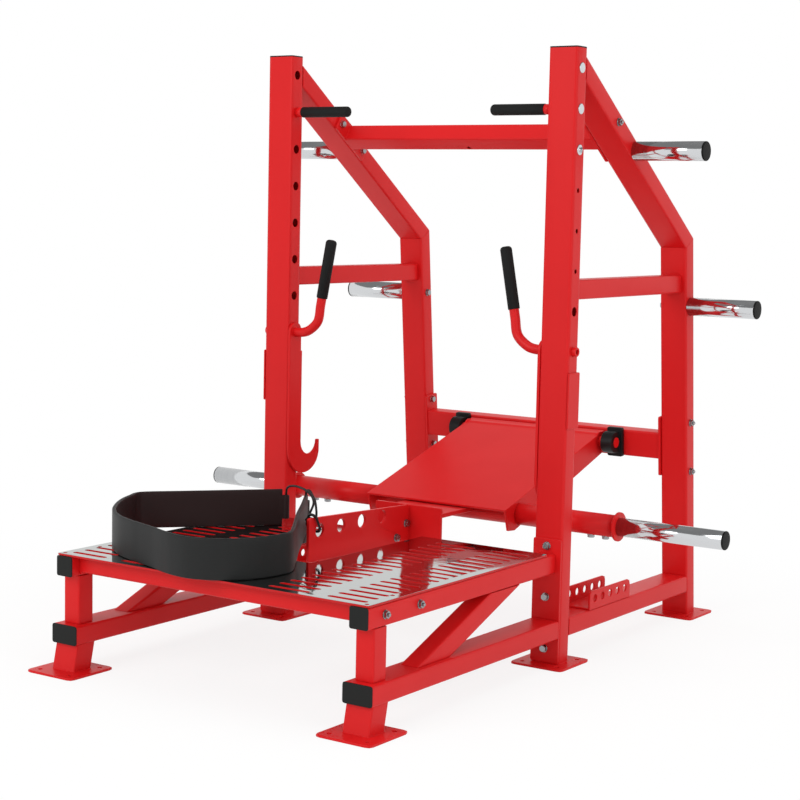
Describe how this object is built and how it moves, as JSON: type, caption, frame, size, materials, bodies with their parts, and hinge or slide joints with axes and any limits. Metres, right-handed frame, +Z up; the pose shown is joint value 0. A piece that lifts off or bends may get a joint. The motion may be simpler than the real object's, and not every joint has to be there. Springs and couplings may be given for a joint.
{
  "type": "belt squat machine",
  "caption": "Belt squat machine: steel frame with a slotted foot platform, a weighted lever with a perforated tongue and belt, and two hooked safety catches.",
  "frame": {"origin": "on the ground at the centre of the footprint", "axes": "+X to the machine's right side, +Y from the platform to the rear uprights, +Z up"},
  "size_m": [1.6526, 1.718, 1.55],
  "materials": {
    "red_paint": "gloss powder coat",
    "chrome": "polished",
    "deck_steel": "polished sheet",
    "black_plastic": "fine texture",
    "rubber_grip": "matte",
    "bearing_black": "satin",
    "belt_fabric": "woven",
    "rope": "braided",
    "ring_steel": "satin"
  },
  "bodies": {
    "frame": {"top_crossbeam": "red_paint", "rear_crossbeam": "red_paint", "platform_crossbeam": "red_paint", "front_upright_left": "red_paint", "front_upright_right": "red_paint", "rear_upright_left": "red_paint", "rear_upright_right": "red_paint", "top_brace_left": "red_paint", "top_brace_right": "red_paint", "mid_brace_left": "red_paint", "mid_brace_right": "red_paint", "rear_rail_left": "red_paint", "rear_rail_right": "red_paint", "channel_bracket_left": "red_paint", "channel_bracket_right": "red_paint", "upper_grip_bar_left": "red_paint", "upper_grip_bar_right": "red_paint", "platform_mount_plate_left": "red_paint", "platform_mount_plate_right": "red_paint", "platform_lower_rail_left": "red_paint", "platform_lower_rail_right": "red_paint", "platform_upper_rail_left": "red_paint", "platform_upper_rail_right": "red_paint", "platform_post_left": "red_paint", "platform_post_right": "red_paint", "platform_brace_left": "red_paint", "platform_brace_right": "red_paint", "upper_horn_left": "chrome", "upper_horn_right": "chrome", "lower_horn_left": "chrome", "lower_horn_right": "chrome", "platform_deck": "deck_steel", "upper_horn_cap_left": "black_plastic", "upper_horn_cap_right": "black_plastic", "lower_horn_cap_left": "black_plastic", "lower_horn_cap_right": "black_plastic", "upper_rail_cap_left": "black_plastic", "upper_rail_cap_right": "black_plastic", "lower_rail_cap_left": "black_plastic", "lower_rail_cap_right": "black_plastic", "upper_grip_sleeve_left": "rubber_grip", "upper_grip_sleeve_right": "rubber_grip", "pillow_block_left": "bearing_black", "pillow_block_right": "bearing_black"},
    "lever": {"lever_frame": "red_paint", "tongue_plate": "red_paint", "pivot_shaft": "red_paint", "loading_sleeve_left": "chrome", "loading_sleeve_right": "chrome", "loading_sleeve_cap_left": "black_plastic", "loading_sleeve_cap_right": "black_plastic", "belt": "belt_fabric", "belt_rope": "rope", "snap_ring": "ring_steel"},
    "left_catch": {"safety_catch_left": "red_paint", "catch_grip_left": "rubber_grip"},
    "right_catch": {"safety_catch_right": "red_paint", "catch_grip_right": "rubber_grip"},
    "ring_gate": {"snap_ring_gate": "ring_steel"}
  },
  "joints": [
    {"name": "lever_swing", "type": "hinge", "parent": "frame", "child": "lever", "pos_m": [0, 0.68, 0.49], "axis": [-1, 0, 0], "range_deg": [0, 35]},
    {"name": "left_catch_swing", "type": "hinge", "parent": "frame", "child": "left_catch", "pos_m": [-0.396, 0.04, 0.798], "axis": [1, 0, 0], "range_deg": [0, 20]},
    {"name": "right_catch_swing", "type": "hinge", "parent": "frame", "child": "right_catch", "pos_m": [0.396, 0.04, 0.798], "axis": [1, 0, 0], "range_deg": [0, 20]},
    {"name": "ring_gate_swing", "type": "hinge", "parent": "lever", "child": "ring_gate", "pos_m": [0.01, -0.38375, 0.37166], "axis": [0, 0.8984, 0.4392], "range_deg": [0, 10], "stiffness_Nm_per_rad": 0.05, "springref_deg": -17.19}
  ]
}
